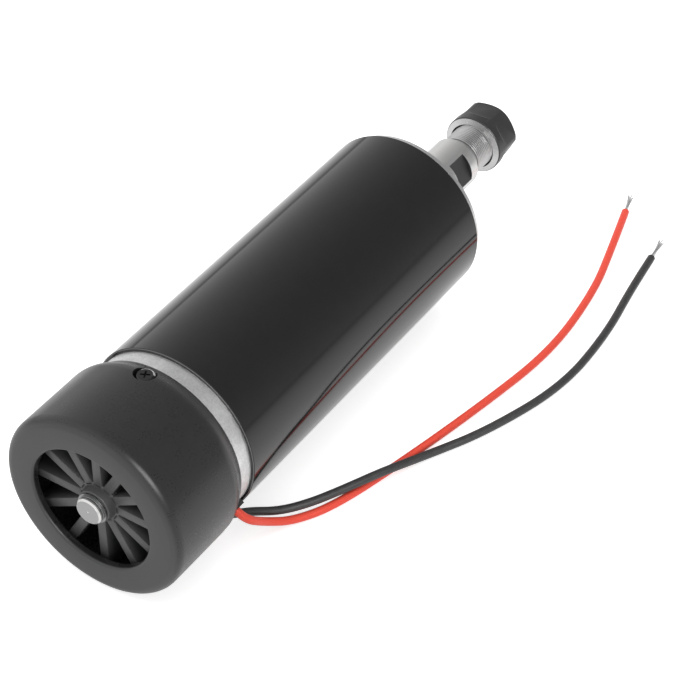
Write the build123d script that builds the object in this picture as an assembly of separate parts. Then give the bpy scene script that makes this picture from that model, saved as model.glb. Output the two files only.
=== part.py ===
from build123d import *
from math import cos, degrees, pi, radians, sin, tan
import os

os.makedirs("parts", exist_ok=True)

# ---------------------------------------------------------------- driving sizes (mm)
# The spindle's axis is X, its nose points to +X, and X = 0 is the front flange's outer face.

# motor tube
tube_wall = 2.0
front_room = 27.7           # tube's front edge to the armature core
tube_edge = 0.3
rim_w = 2.3                 # front flange rim that stands ahead of the tube
ring_w = 3.9                # rear bell ring left bare between tube and cover
bell_depth = 8.7            # rear bell behind the cover's front edge
bell_plate_t = 6.0
bell_boss_wall = 3.0
rim_step = 1.0              # how far rim and ring stand below the tube's outside

# fan cover
cover_band = 3.0            # wall of the band that grips the rear bell
cover_len = 31.5
cover_end_wall = 2.2
cover_skirt_wall = 2.0
cover_rear_round = 2.8
cover_front_round = 2.9
cover_inner_round = 1.2
inlet_d = 37.2
inlet_round = 0.8
seat_len = 10.2             # length of that band

# spindle shaft
nose_d = 14.0
nose_thread_play = 0.05     # radial, thread zone to nut
neck_d = 13.2
neck_len = 1.8
collar_d = 16.0
collar_len = 28.2
flat_af = 13.0
flat_len = 7.0
flat_land = 3.0
flat_turn = 155.0           # where the first flat faces, degrees from +Y towards +Z
nose_end = 44.0
shoulder_depth = 5.5        # front bearing's back to the shaft's shoulder
shaft_body_d = 12.0
comm_seat_d = 10.0
rear_d = 8.0
rear_proud = 0.84

# collet and nut
bore_d = 3.175
socket_d = 11.0
socket_half_angle = 8.0
socket_len = 13.0
socket_play = 0.03
tail_d = 7.6
tail_len = 8.0
collet_len = 18.0
collet_proud = 5.0          # collet's face ahead of the nose
collet_slots = 4
slot_w = 0.4
nut_od = 19.0
nut_af = 17.0
nut_len = 11.3
nut_runout_r = 5.0
nut_round_len = 6.6

# bearings
front_bore = 15.0
front_out = 32.0
front_width = 9.0
front_ball_d = 4.762
front_balls = 9
rear_out = 22.0
rear_width = 7.0
rear_ball_d = 3.969
rear_balls = 7
brg_wall = 3.5              # flange wall ahead of the front bearing
circlip_w = 1.2
spigot_back = 4.3           # flange spigot behind the snap ring
race_play = 0.05
pocket_play = 0.12
shield_t = 0.3

# rotor
armature_d = 36.0
slot_depth = 7.3
tooth_tip = 1.3
tooth_w = 3.0
slot_open = 2.2
end_turn = 6.0              # length of the winding's end turns
end_stub = 1.0              # core end to the end turns
wind_gap = 2.5              # end turns to the commutator
air_gap = 0.6
magnet_t = 5.4
magnet_shift = 1.0          # magnets sit this far behind the core's middle
magnet_len = 64.0
magnet_span = 140.0
core_len = 58.0
slots = 12
fan_play = 2.0              # radial, blade tips to the cover
fan_back = 3.0              # cover's rear face to the blades
boss_back = 1.5             # cover's rear face to the fan's boss
spacer_len = 3.0            # fan's hub ahead of the blades
blade_count = 12
blade_t = 1.9
blade_depth = 12.5
hub_d = 12.6
hub_boss_d = 11.4
comm_hub_wall = 2.4         # insulating hub under the bars
bar_h = 2.6                 # depth of the commutator bars
comm_len = 9.5
bar_gap = 0.5
comm_back = 1.0             # brush card's rear face to the commutator

# brushes
brush_x = 5.0
brush_y = 6.0
brush_len = 6.0
brush_play = 0.12
comm_play = 0.05
holder_wall = 0.6
foot_t = 0.4                # brush holder's foot on the card
card_t = 2.0
card_inset = 6.4            # tube's rear edge to the card's rear face
spring_wire = 0.6
spring_turns = 3.0

# fixings
tie_d = 4.0
tie_edge = 0.8              # tie bolt to the tube's bore
tie_head_d = 6.4
tie_head_len = 3.0
card_screw_d = 2.5
card_screw_head_d = 4.4
card_screw_head_h = 1.5
card_screw_grip = 4.6       # how far a card screw reaches behind the card
card_screw_in = 2.9         # card screw to the step it stands inside
cover_screw_d = 3.0
cover_screw_head_d = 5.2
cover_screw_head_h = 1.6
cover_screw_sink = 1.7      # cover's outside to the screw's seat
cover_screw_back = 4.5      # cover's front edge to the screws
cover_screw_grip = 5.6      # how far a screw reaches below the rim
face_hole_d = 4.0
face_hole_edge = 4.5        # bolt circle to the flange's rim
face_hole_depth = 9.0

# leads
lead_d = 2.4
lead_angle = 217.0
lead_pitch = 3.8
lead_proud = 1.2            # where the leads' own solids start, above the rim
tip_d = 1.2
lead_lift = 2.7             # how far the black lead's axis rides over the red one

# ---------------------------------------------------------------- stations along X
x_tube_front = -rim_w
core_x1 = x_tube_front - front_room
core_x0 = core_x1 - core_len
comm_x1 = core_x0 - end_stub - end_turn - wind_gap
x_comm = comm_x1 - comm_len
x_card = x_comm - comm_back
x_tube_rear = x_card - card_inset
x_cover_front = x_tube_rear - ring_w
x_cover_rear = x_cover_front - cover_len
x_magnet = (core_x0 + core_x1) / 2 - magnet_shift
x_card_front = x_card + card_t
x_brush = x_card_front + foot_t + holder_wall + brush_play + brush_x / 2

x_front_wall = -brg_wall
x_front_brg = x_front_wall - front_width / 2
x_seat_back = x_front_wall - front_width
x_spigot = x_seat_back - circlip_w - spigot_back
x_bell_rear = x_cover_front - bell_depth
x_rear_brg = x_bell_rear + rear_width / 2
x_bell_plate = x_bell_rear + bell_plate_t
x_blade_rear = x_cover_rear + fan_back
x_boss_rear = x_cover_rear + boss_back
x_shaft_rear = x_cover_rear - rear_proud

# ---------------------------------------------------------------- radii, from the armature outwards
core_r = armature_d / 2
mag_r = core_r + air_gap
tube_ir = mag_r + magnet_t
tube_r = tube_ir + tube_wall
rim_r = tube_r - rim_step
cover_r = rim_r + cover_band
cover_ir = cover_r - cover_skirt_wall
fan_r = cover_ir - fan_play
tie_r = tube_ir - tie_d / 2 - tie_edge
lead_exit_r = rim_r + lead_proud
comm_d = comm_seat_d + 2 * (comm_hub_wall + bar_h)
floor_z = -cover_r


# ---------------------------------------------------------------- helpers
def turned(points):
    """Solid of revolution about X from (x, r) points."""
    return revolve(make_face(Polyline(*points, close=True)), Axis.X)


def tube(r_out, r_in, x0, x1):
    """Plain ring along X."""
    if r_in <= 0:
        return turned([(x0, 0), (x0, r_out), (x1, r_out), (x1, 0)])
    return turned([(x0, r_in), (x0, r_out), (x1, r_out), (x1, r_in)])


def about(shape, angle):
    """Turn a shape about X."""
    return Rot(angle, 0, 0) * shape


def radial_rod(r, x, r0, r1, angle):
    """Cylinder along a radius. angle is measured from +Y towards +Z."""
    rod = Pos(x, 0, (r0 + r1) / 2) * Cylinder(r, r1 - r0)
    return about(rod, angle - 90)


def rod_x(r, x0, x1, radius, angle):
    """Cylinder along X, off the axis."""
    y = radius * cos(radians(angle))
    z = radius * sin(radians(angle))
    return Pos((x0 + x1) / 2, y, z) * Rot(0, 90, 0) * Cylinder(r, x1 - x0)


def kidney(r0, r1, x0, x1, angle, half_span):
    """Round-ended curved slot along X."""
    mid = (r0 + r1) / 2
    ring = tube(r1, r0, x0, x1)
    reach = 60.0
    a0 = radians(angle - half_span)
    a1 = radians(angle + half_span)
    tri = Polyline((0, 0), (reach * cos(a0), reach * sin(a0)),
                   (reach * cos(a1), reach * sin(a1)), close=True)
    wedge = extrude(Plane(origin=(x0, 0, 0), x_dir=(0, 1, 0), z_dir=(1, 0, 0)) * make_face(tri), x1 - x0)
    out = ring & wedge
    for a in (angle - half_span, angle + half_span):
        out += rod_x((r1 - r0) / 2, x0, x1, mid, a)
    return out


def yz_face(points, x):
    """Face in the plane X = x from (y, z) points."""
    return Plane(origin=(x, 0, 0), x_dir=(0, 1, 0), z_dir=(1, 0, 0)) * make_face(Polyline(*points, close=True))


def polar(r, a):
    """(y, z) of a polar point, angle in degrees from +Y."""
    return (r * cos(radians(a)), r * sin(radians(a)))


def save(node, shape):
    """Write one node, as a group when it has several solids."""
    solids = list(shape.solids()) if not isinstance(shape, list) else [s for p in shape for s in p.solids()]
    body = solids[0] if len(solids) == 1 else Compound(children=solids)
    export_step(body, f"parts/{node}.step")
    print(f"{node:22s} solids {len(solids):2d}  volume {sum(s.volume for s in solids):9.1f}")


# ---------------------------------------------------------------- motor tube
body_tube = tube(tube_r, tube_ir, x_tube_rear, x_tube_front)
outer_rings = body_tube.edges().filter_by(GeomType.CIRCLE).filter_by(lambda e: abs(e.radius - tube_r) < 0.01)
body_tube = chamfer(outer_rings, tube_edge)
save("body_tube", body_tube)

# ---------------------------------------------------------------- front flange
brg_r = front_out / 2
front_flange = turned([
    (0, collar_d / 2 + 0.4), (0, rim_r - 0.5), (-0.5, rim_r), (x_tube_front, rim_r),
    (x_tube_front, tube_ir), (x_spigot, tube_ir), (x_spigot, brg_r + 0.1),
    (x_seat_back - circlip_w, brg_r + 0.1), (x_seat_back - circlip_w, brg_r + 0.85),
    (x_seat_back, brg_r + 0.85), (x_seat_back, brg_r), (x_front_wall, brg_r),
    (x_front_wall, brg_r - 3.2), (x_front_wall + 0.6, collar_d / 2 + 0.4)])
for a in (45, 135, 225, 315):
    front_flange -= rod_x(face_hole_d / 2, -face_hole_depth, 1.0, rim_r - face_hole_edge, a)
for a in (0, 180):
    front_flange -= rod_x(tie_d / 2, x_spigot - 1, x_front_wall - 2.5, tie_r, a)
for a in (90, 270):
    front_flange -= kidney(brg_r + 2.4, tube_ir - 2.4, x_spigot - 1, 1.0, a, 15)
save("front_flange", front_flange)


# ---------------------------------------------------------------- ball bearings
def bearing(bore, outside, width, count, ball_d, x_mid, prefix):
    """One shielded ball bearing: rings, balls, cage and the two shields."""
    ri = bore / 2
    ro = outside / 2
    pitch = (ri + ro) / 2
    ball_r = ball_d / 2
    land = ball_r * 0.52
    inner_land = pitch - ball_r + land - 0.4 * ball_r + 0.2
    outer_land = 2 * pitch - inner_land
    groove = Pos(x_mid, 0, 0) * Rot(0, 90, 0) * Torus(pitch, ball_r + race_play)
    outer = tube(ro, outer_land, x_mid - width / 2, x_mid + width / 2) - groove
    inner = tube(inner_land, ri, x_mid - width / 2, x_mid + width / 2) - groove
    balls = []
    pockets = None
    for i in range(count):
        y, z = polar(pitch, 360 / count * i + 15)
        balls.append(Pos(x_mid, y, z) * Sphere(ball_r))
        hole = radial_rod(ball_r + pocket_play, x_mid, pitch - ball_r, pitch + ball_r, 360 / count * i + 15)
        pockets = hole if pockets is None else pockets + hole
    half = ball_r + pocket_play + 0.45
    cage_t = ball_r * 0.36
    cage = tube(pitch + cage_t, pitch - cage_t, x_mid - half, x_mid + half) - pockets
    shields = []
    for side in (-1, 1):
        xs = x_mid + side * (width / 2 - 0.25 - shield_t / 2)
        shields.append(tube(outer_land, inner_land + 0.45, xs - shield_t / 2, xs + shield_t / 2))
    save(prefix + "_outer_ring", outer)
    save(prefix + "_inner_ring", inner)
    save(prefix + "_balls", balls)
    save(prefix + "_cage", cage)
    save(prefix + "_shields", shields)
    print(prefix, "lands", round(inner_land, 3), round(outer_land, 3), "cage/rotor", round(0.5 * (1 - ball_d / (2 * pitch)), 4))
    return inner_land, outer_land


front_lands = bearing(front_bore, front_out, front_width, front_balls, front_ball_d, x_front_brg, "front_brg")
rear_lands = bearing(rear_d, rear_out, rear_width, rear_balls, rear_ball_d, x_rear_brg, "rear_brg")

# spring ring that locks the front bearing in its seat
clip_r = brg_r + 0.85
circlip = tube(clip_r, brg_r - 1.6, x_seat_back - circlip_w, x_seat_back)
circlip -= Pos(x_seat_back, 0, -brg_r) * Box(4, 7, 8)
save("bearing_circlip", circlip)

# ---------------------------------------------------------------- rear bell
rear_r = rear_out / 2
boss_r = rear_r + bell_boss_wall
lip_x = x_bell_rear - 1.2
card_step_r = tube_ir - 2.5
rear_bell = turned([
    (lip_x - 1.6, rear_lands[0] + 3.0), (lip_x - 1.6, boss_r - 1.0), (x_bell_rear - 0.8, boss_r),
    (x_bell_rear, boss_r), (x_bell_rear, rim_r), (x_tube_rear, rim_r), (x_tube_rear, tube_ir),
    (x_card + 3.0, tube_ir), (x_card + 3.0, tube_ir - 1.5), (x_card, tube_ir - 1.5), (x_card, card_step_r),
    (x_bell_plate, card_step_r), (x_bell_plate, boss_r), (x_bell_rear + rear_width, boss_r),
    (x_bell_rear + rear_width, rear_r), (lip_x, rear_r), (lip_x, rear_lands[0] + 3.0)])
for a in (38, 142, 285):
    rear_bell -= kidney(boss_r + 1.6, card_step_r - 1.5, x_bell_rear - 1, x_bell_plate + 1, a, 13)
for a in (0, 180):
    rear_bell += rod_x(3.4, x_bell_plate - 0.5, x_card, tie_r - 0.9, a) & tube(card_step_r + 0.5, 0, x_bell_plate - 1, x_card)
    rear_bell -= rod_x(tie_d / 2 + 0.2, x_bell_rear - 1, x_card + 4, tie_r, a)
card_screw_angles = (68, 248)
card_screw_r = card_step_r - card_screw_in
for a in card_screw_angles:
    rear_bell += rod_x(card_step_r - card_screw_r + 0.3, x_bell_plate - 0.5, x_card, card_screw_r, a)
    rear_bell -= rod_x(card_screw_d / 2, x_card - card_screw_grip - 0.4, x_card + 1, card_screw_r, a)
cover_screw_angles = (90, 210, 330)
x_cover_screw = x_cover_front - cover_screw_back
screw_foot_r = rim_r - cover_screw_grip
for a in cover_screw_angles:
    rear_bell -= radial_rod(cover_screw_d / 2, x_cover_screw, screw_foot_r - 0.4, rim_r + 5.0, a)
# slot for the lead grommet
x_lead = x_cover_front + 0.4
grom_w = 4.6
grom_l = lead_pitch + lead_d + 2.4
slot_box = Pos(x_lead, 0, rim_r - 2.0) * Box(grom_w, grom_l, 8.0)
slot_tool = about(slot_box, lead_angle - 90)
rear_bell -= slot_tool
save("rear_bell", rear_bell)

# cone spring that preloads the rear bearing
cone_h = 0.8
rear_preload = turned([
    (x_bell_rear - 0.02, rear_r - 0.2), (x_bell_rear - 0.42, rear_r - 0.2),
    (x_bell_rear - cone_h - 0.38, rear_r - 2.2), (x_bell_rear - cone_h + 0.02, rear_r - 2.2)])
save("preload_spring", rear_preload)

# ---------------------------------------------------------------- fan cover
fan_cover = turned([
    (x_cover_rear, inlet_d / 2), (x_cover_rear, cover_r), (x_cover_front, cover_r), (x_cover_front, rim_r),
    (x_cover_front - seat_len, rim_r), (x_cover_front - seat_len, cover_ir),
    (x_cover_rear + cover_end_wall, cover_ir), (x_cover_rear + cover_end_wall, inlet_d / 2)])


def ring_edge(shape, x, r):
    """Circular edges of one radius at one station."""
    edges = shape.edges().filter_by(GeomType.CIRCLE)
    return edges.filter_by(lambda e: abs(e.radius - r) < 0.01 and abs(e.arc_center.X - x) < 0.01)


fan_cover = fillet(ring_edge(fan_cover, x_cover_rear, cover_r), cover_rear_round)
fan_cover = fillet(ring_edge(fan_cover, x_cover_front, cover_r), min(cover_front_round, cover_band - 0.1))
fan_cover = fillet(ring_edge(fan_cover, x_cover_rear, inlet_d / 2), inlet_round)
fan_cover = fillet(ring_edge(fan_cover, x_cover_rear + cover_end_wall, cover_ir), cover_inner_round)
screw_seat_r = cover_r - cover_screw_sink
for a in cover_screw_angles:
    fan_cover -= radial_rod(cover_screw_d / 2 + 0.15, x_cover_screw, rim_r - 2, cover_r + 1, a)
    fan_cover -= radial_rod(cover_screw_head_d / 2 + 0.35, x_cover_screw, screw_seat_r, cover_r + 1, a)
notch_box = Pos(x_lead + 3.0, 0, rim_r + 1.5) * Box(grom_w + 6.0, grom_l, 8.0)
fan_cover -= about(notch_box, lead_angle - 90)
save("fan_cover", fan_cover)

cover_screws = []
for a in cover_screw_angles:
    head = Pos(0, 0, screw_seat_r + cover_screw_head_h / 2) * Cylinder(cover_screw_head_d / 2, cover_screw_head_h)
    head = fillet(head.edges().filter_by(GeomType.CIRCLE).sort_by(Axis.Z)[-1], cover_screw_head_h - 0.5)
    shank = Pos(0, 0, (screw_foot_r + screw_seat_r) / 2) * Cylinder(cover_screw_d / 2, screw_seat_r - screw_foot_r)
    cover_screws.append(about(Pos(x_cover_screw, 0, 0) * (head + shank), a - 90))
save("cover_screws", cover_screws)

# ---------------------------------------------------------------- tie bolts
tie_bolts = []
for a in (0, 180):
    bolt = rod_x(tie_d / 2, x_bell_rear, x_front_wall - 4.5, tie_r, a)
    bolt += rod_x(tie_head_d / 2, x_bell_rear - tie_head_len, x_bell_rear, tie_r, a)
    y, z = polar(tie_r, a)
    socket = Pos(x_bell_rear - tie_head_len, y, z) * Rot(0, 90, 0) * extrude(RegularPolygon(1.73, 6), 1.6)
    tie_bolts.append(bolt - socket)
save("tie_bolts", tie_bolts)

# ---------------------------------------------------------------- magnets and clips


def arc_sector(r0, r1, x0, x1, angle, half_span):
    """Square-ended ring sector along X."""
    pts_out = [polar(r1, angle - half_span + i * half_span / 2) for i in range(5)]
    arc = ThreePointArc(pts_out[0], pts_out[2], pts_out[4])
    pts_in = [polar(r0, angle + half_span - i * half_span / 2) for i in range(5)]
    back = ThreePointArc(pts_in[0], pts_in[2], pts_in[4])
    outline = arc + Line(pts_out[4], pts_in[0]) + back + Line(pts_in[4], pts_out[0])
    face = Plane(origin=(x0, 0, 0), x_dir=(0, 1, 0), z_dir=(1, 0, 0)) * make_face(outline)
    return extrude(face, x1 - x0)


mag_x0 = x_magnet - magnet_len / 2
mag_x1 = x_magnet + magnet_len / 2
magnets = [arc_sector(mag_r, tube_ir, mag_x0, mag_x1, a, magnet_span / 2) for a in (90, 270)]
save("magnets", magnets)
clip_t = 0.6
half_gap = 90 - magnet_span / 2
clips = []
for a in (0, 180):
    back = arc_sector(tube_ir - clip_t, tube_ir, mag_x0 + 4, mag_x1 - 4, a, half_gap)
    for side in (-1, 1):
        lip_angle = degrees(clip_t / tube_ir)
        mid = a + side * (half_gap - lip_angle / 2)
        back += arc_sector(mag_r + 1.0, tube_ir, mag_x0 + 4, mag_x1 - 4, mid, lip_angle / 2)
    clips.append(back)
save("magnet_clips", clips)

# ---------------------------------------------------------------- spindle shaft
nose_r = nose_d / 2
socket_end_r = socket_d / 2 - socket_len * tan(radians(socket_half_angle))
x_neck = collar_len + neck_len
x_shoulder = x_seat_back - shoulder_depth
spindle_shaft = turned([
    (x_shaft_rear, 0), (x_shaft_rear, rear_d / 2 - 0.5), (x_shaft_rear + 0.5, rear_d / 2),
    (x_bell_rear + rear_width, rear_d / 2), (x_bell_rear + rear_width, comm_seat_d / 2),
    (comm_x1 + 1.5, comm_seat_d / 2), (comm_x1 + 1.5, shaft_body_d / 2), (x_shoulder, shaft_body_d / 2),
    (x_shoulder, front_bore / 2), (x_front_wall, front_bore / 2), (x_front_wall, collar_d / 2),
    (collar_len - 0.4, collar_d / 2), (collar_len, collar_d / 2 - 0.4), (collar_len, neck_d / 2),
    (x_neck, neck_d / 2), (x_neck, nose_r - nose_thread_play - 0.3), (x_neck + 0.3, nose_r - nose_thread_play),
    (nose_end - 0.6, nose_r - nose_thread_play), (nose_end, nose_r - nose_thread_play - 0.6),
    (nose_end, socket_d / 2), (nose_end - socket_len, socket_end_r),
    (nose_end - socket_len, tail_d / 2), (nose_end - socket_len - tail_len, tail_d / 2),
    (nose_end - socket_len - tail_len - 2.0, 0)])
groove_x = x_boss_rear - 0.55
spindle_shaft -= tube(rear_d / 2 + 1, rear_d / 2 - 0.35, groove_x, groove_x + 0.5)
flat_x1 = collar_len - flat_land
for a in (flat_turn, flat_turn + 180):
    cutter = Pos(flat_x1 - flat_len / 2, 0, flat_af / 2 + 3) * Box(flat_len, 20, 6)
    spindle_shaft -= about(cutter, a - 90)
spindle_shaft -= Pos(x_shaft_rear, 0, 0) * Rot(0, 90, 0) * Cone(0.7, 0.05, 1.4)
save("spindle_shaft", spindle_shaft)

# ---------------------------------------------------------------- collet
x_col1 = nose_end + collet_proud
x_col0 = x_col1 - collet_len
tan_s = tan(radians(socket_half_angle))


def socket_r(x):
    """Radius of the collet's seat on the taper at station x."""
    return socket_d / 2 - (nose_end - x) * tan_s - socket_play


groove_r = socket_r(nose_end) - 0.75
head_r = socket_r(nose_end) + 0.25
collet = turned([
    (x_col0, bore_d / 2 + 0.35), (x_col0, socket_r(x_col0 + 0.4) - 0.4), (x_col0 + 0.4, socket_r(x_col0 + 0.4)),
    (nose_end - 0.6, socket_r(nose_end - 0.6)), (nose_end - 0.1, groove_r), (nose_end + 1.3, groove_r),
    (nose_end + 1.6, head_r), (nose_end + 2.4, head_r), (x_col1, head_r - (x_col1 - nose_end - 2.4) * tan(radians(30))),
    (x_col1, bore_d / 2 + 0.3), (x_col1 - 0.3, bore_d / 2), (x_col0 + 6.0, bore_d / 2),
    (x_col0 + 6.0, bore_d / 2 + 0.35)])
keep = 3.2
for i in range(collet_slots):
    a = 360 / collet_slots * i
    front_slot = Pos((x_col0 + keep + x_col1 + 1) / 2, 0, 4.5) * Box(x_col1 + 1 - x_col0 - keep, slot_w, 9)
    rear_slot = Pos((x_col0 - 1 + x_col1 - keep) / 2, 0, 4.5) * Box(x_col1 - keep - x_col0 + 1, slot_w, 9)
    collet -= about(front_slot, a + 20)
    collet -= about(rear_slot, a + 20 + 180 / collet_slots)
save("collet", collet)

# ---------------------------------------------------------------- collet nut
x_nut1 = x_col1
x_nut0 = x_nut1 - nut_len
nut_r = nut_od / 2
cone_play = 0.06
cone_r1 = head_r - (x_col1 - nose_end - 2.4) * tan(radians(30)) + cone_play
cone_x0 = nose_end + 2.4
nut_bore_r = nose_r
catch_r = groove_r + 0.25
collet_nut = turned([
    (x_nut0, nut_bore_r + 0.5), (x_nut0, nut_r - 0.5), (x_nut0 + 0.5, nut_r), (x_nut1 - 0.9, nut_r),
    (x_nut1, nut_r - 1.2), (x_nut1, cone_r1), (cone_x0, head_r + cone_play),
    (nose_end + 1.5, head_r + cone_play), (nose_end + 1.15, catch_r), (nose_end + 0.45, catch_r),
    (nose_end + 0.25, nut_bore_r), (x_nut0 + 0.5, nut_bore_r)])
x_run = x_nut0 + nut_round_len
for i in range(6):
    rr = nut_runout_r
    h = nut_af / 2
    side = Polyline((x_nut1 + 1, h), (x_nut1 + 1, h + 4), (x_run - rr, h + 4), (x_run - rr, h + rr))
    mid_pt = (x_run - rr * sin(radians(45)), h + rr - rr * cos(radians(45)))
    runout = ThreePointArc((x_run - rr, h + rr), mid_pt, (x_run, h))
    outline = side + runout + Line((x_run, h), (x_nut1 + 1, h))
    cutter = extrude(Plane.XZ.offset(-8) * make_face(outline), 16)
    if cutter.center().Z < 0:
        cutter = mirror(cutter, about=Plane.XY)
    collet_nut -= about(cutter, 60 * i + 12)
save("collet_nut", collet_nut)

# ---------------------------------------------------------------- armature
armature_core = tube(core_r, shaft_body_d / 2, core_x0, core_x1)
slot_r1 = core_r - tooth_tip
slot_r0 = slot_r1 - slot_depth
crown_r0 = shaft_body_d / 2 + 1.8
slot_cut = []
for i in range(slots):
    a = 360 / slots * i
    w0 = slot_r0 * sin(pi / slots) - tooth_w / 2
    w1 = slot_r1 * sin(pi / slots) - tooth_w / 2
    pocket = [(slot_r0, -w0), (slot_r1, -w1), (slot_r1, w1), (slot_r0, w0)]
    mouth = [(slot_r1 - 0.5, -slot_open / 2), (core_r + 1, -slot_open / 2), (core_r + 1, slot_open / 2),
             (slot_r1 - 0.5, slot_open / 2)]
    cut = extrude(yz_face(pocket, core_x0 - 1), core_len + 2) + extrude(yz_face(mouth, core_x0 - 1), core_len + 2)
    armature_core -= about(cut, a)
    slot_cut.append((a, w0, w1))
save("armature_core", armature_core)

# one copper winding: bars in the slots joined by rounded end turns
windings = None
for a, w0, w1 in slot_cut:
    bar = [(slot_r0 + 0.35, -w0 + 0.3), (slot_r1 - 0.35, -w1 + 0.3), (slot_r1 - 0.35, w1 - 0.3), (slot_r0 + 0.35, w0 - 0.3)]
    solid = about(extrude(yz_face(bar, core_x0 - 1.5), core_len + 3.0), a)
    windings = solid if windings is None else windings + solid
for side in (-1, 1):
    x0 = core_x0 - end_stub if side < 0 else core_x1 + end_stub
    crown = tube(slot_r1 - 0.4, crown_r0, min(x0, x0 + side * end_turn), max(x0, x0 + side * end_turn))
    far = x0 + side * end_turn
    crown = fillet(ring_edge(crown, far, slot_r1 - 0.4) + ring_edge(crown, far, crown_r0), 2.4)
    windings += crown
save("windings", windings)
end_discs = []
for side in (-1, 1):
    x0 = core_x0 - 0.8 if side < 0 else core_x1
    disc = tube(crown_r0 - 0.2, shaft_body_d / 2, x0, x0 + 0.8)
    end_discs.append(disc)
save("end_insulators", end_discs)

# ---------------------------------------------------------------- commutator
hub_r = comm_d / 2 - bar_h
commutator_hub = tube(hub_r, comm_seat_d / 2, x_comm - 0.8, comm_x1 + 0.4)
save("commutator_hub", commutator_hub)
bars = []
bar_half = 180 / slots - degrees(bar_gap / 2 / (comm_d / 2))
for i in range(slots):
    a = 360 / slots * i + 15
    bar = arc_sector(hub_r, comm_d / 2, x_comm, comm_x1, a, bar_half)
    bar += arc_sector(comm_d / 2 - 0.6, comm_d / 2 + 1.4, comm_x1 - 1.2, comm_x1, a, 4.5)
    bars.append(bar)
save("commutator_bars", bars)

# ---------------------------------------------------------------- fan
fan_x1 = x_blade_rear + blade_depth
hub_front = fan_x1 + spacer_len
fan = turned([
    (x_boss_rear, rear_d / 2), (x_boss_rear, hub_boss_d / 2 - 0.3), (x_boss_rear + 0.3, hub_boss_d / 2),
    (x_blade_rear, hub_d / 2), (hub_front, hub_d / 2 + 0.6), (hub_front, rear_d / 2)])
web = tube(hub_d / 2 + 6.0, hub_d / 2 - 1.0, fan_x1 - 1.2, fan_x1)
fan += web
for i in range(blade_count):
    a = 360 / blade_count * i
    blade = Pos((x_blade_rear + fan_x1) / 2, 0, (hub_d / 2 - 1.0 + fan_r) / 2)
    blade = blade * Box(blade_depth, blade_t, fan_r - hub_d / 2 + 1.0)
    fan += about(blade, a)
save("fan", fan)
snap_ring = tube(rear_d / 2 + 0.55, rear_d / 2 - 0.35, groove_x + 0.02, groove_x + 0.48)
snap_ring -= Pos(groove_x, 0, -4.2) * Box(3, 3.4, 5)
save("fan_snap_ring", snap_ring)
fan_spacer = tube(rear_lands[0] - 0.1, rear_d / 2, hub_front, x_bell_rear)
save("fan_spacer", fan_spacer)

# ---------------------------------------------------------------- brush gear
card_r = tube_ir - 1.5
card_bore = comm_d / 2 + 2.4
lead_hole_r = card_r - 5.3
brush_card = tube(card_r, card_bore, x_card, x_card_front)
for a in (0, 180):
    brush_card -= rod_x(tie_d / 2 + 0.4, x_card - 1, x_card_front + 1, tie_r, a)
for a in card_screw_angles:
    brush_card -= rod_x(card_screw_d / 2 + 0.15, x_card - 1, x_card_front + 1, card_screw_r, a)
for a in (30, 150, 210, 330):
    brush_card -= rod_x(2.2, x_card - 1, x_card_front + 1, lead_hole_r, a)
save("brush_card", brush_card)
card_screws = []
for a in card_screw_angles:
    screw = rod_x(card_screw_d / 2, x_card - card_screw_grip, x_card_front, card_screw_r, a)
    screw += rod_x(card_screw_head_d / 2, x_card_front, x_card_front + card_screw_head_h, card_screw_r, a)
    card_screws.append(screw)
save("card_screws", card_screws)

brush_r0 = comm_d / 2 + comm_play
brush_r1 = brush_r0 + brush_len
holder_r0 = comm_d / 2 + 1.2
holder_r1 = tube_ir - 2.6
spring_r0 = brush_r1 + 0.05
spring_r1 = holder_r1 - holder_wall - 0.05
holders = []
for a, tag in ((90, "a"), (270, "b")):
    bx = brush_x + 2 * brush_play
    by = brush_y + 2 * brush_play
    outer = Pos(x_brush, 0, (holder_r0 + holder_r1) / 2) * Box(bx + 2 * holder_wall, by + 2 * holder_wall, holder_r1 - holder_r0)
    inner = Pos(x_brush, 0, (holder_r0 + holder_r1 - holder_wall) / 2 - 1) * Box(bx, by, holder_r1 - holder_r0 - holder_wall + 2)
    window = Pos(x_brush, 0, holder_r1 - 3.2) * Box(bx + 4, 1.6, 3.6)
    foot = Pos(x_card_front + foot_t / 2, 0, card_bore + 4.4) * Box(foot_t, by + 2 * holder_wall, 6.0)
    holders.append(about(outer - inner - window + foot, a - 90))
    brush = Pos(x_brush, 0, (brush_r0 - 1 + brush_r1) / 2) * Box(brush_x, brush_y, brush_r1 - brush_r0 + 1)
    brush -= tube(brush_r0, 0, x_brush - 6, x_brush + 6)
    save("brush_" + tag, about(brush, a - 90))
    coil_r = 1.7
    pitch = (spring_r1 - spring_r0 - spring_wire) / spring_turns
    path = Helix(pitch, pitch * spring_turns, coil_r)
    section = Plane(origin=path @ 0, z_dir=path % 0) * Circle(spring_wire / 2)
    coil = sweep(section, path=path)
    coil = Pos(x_brush, 0, spring_r0 + spring_wire / 2) * coil
    save("brush_spring_" + tag, about(coil, a - 90))
save("brush_holders", holders)

# ---------------------------------------------------------------- leads
rad = (cos(radians(lead_angle)), sin(radians(lead_angle)))
tan_dir = (-rad[1], rad[0])


def exit_point(offset, r):
    """Point on a lead's way out of the grommet."""
    return (x_lead, rad[0] * r + tan_dir[0] * offset, rad[1] * r + tan_dir[1] * offset)


grom = Pos(x_lead, 0, rim_r - 1.6) * Box(grom_w - 0.02, grom_l - 0.02, 5.6)
grom = fillet(grom.edges().filter_by(Axis.Z), 0.8)
grom += Pos(x_lead, 0, rim_r - 4.6) * Box(grom_w + 1.4, grom_l + 1.6, 0.9)
for s in (-1, 1):
    grom -= Pos(x_lead, s * lead_pitch / 2, rim_r - 1.0) * Cylinder(lead_d / 2, 12)
lead_grommet = about(grom, lead_angle - 90)
save("lead_grommet", lead_grommet)

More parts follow.
